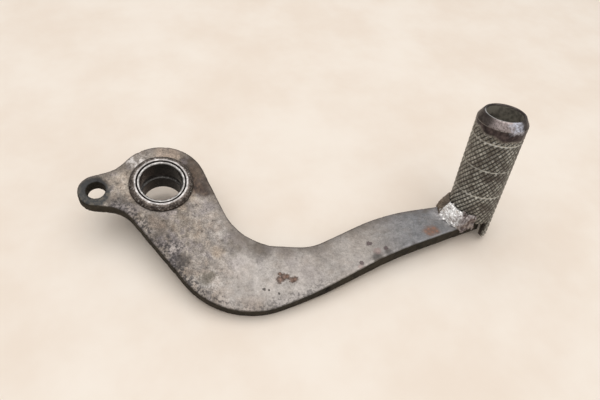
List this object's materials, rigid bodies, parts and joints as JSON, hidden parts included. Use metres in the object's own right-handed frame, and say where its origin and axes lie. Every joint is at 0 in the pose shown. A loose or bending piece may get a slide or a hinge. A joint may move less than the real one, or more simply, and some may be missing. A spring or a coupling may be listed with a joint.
{
  "type": "gear shift lever",
  "caption": "Steel motorcycle gear shift lever: curved plate with a rod eye, a bushed pivot boss and a welded knurled toe peg.",
  "frame": {"origin": "on the pivot axis, halfway through the plate's thickness", "axes": "+Z along the pivot bore, away from the engine; +X towards the toe peg; the arm dips towards -Y"},
  "size_m": [0.1562, 0.07, 0.0595],
  "materials": {
    "lever_plate": "worn bare steel, dark mottled patina, light rust spots",
    "pivot_boss": "turned steel, worn bright on the end ring",
    "boss_weld": "dull weld bead",
    "pivot_bush": "dark oiled steel with bright ends",
    "toe_peg": "dark knurled steel, tips worn bright",
    "toe_weld_front": "bright lumpy weld",
    "toe_weld_rear": "brown stained weld"
  },
  "bodies": {
    "root": {"lever_plate": "lever_plate", "pivot_boss": "pivot_boss", "boss_weld": "boss_weld", "upper_pivot_bush": "pivot_bush", "lower_pivot_bush": "pivot_bush", "toe_peg": "toe_peg", "toe_weld_front": "toe_weld_front", "toe_weld_rear": "toe_weld_rear"}
  },
  "joints": []
}
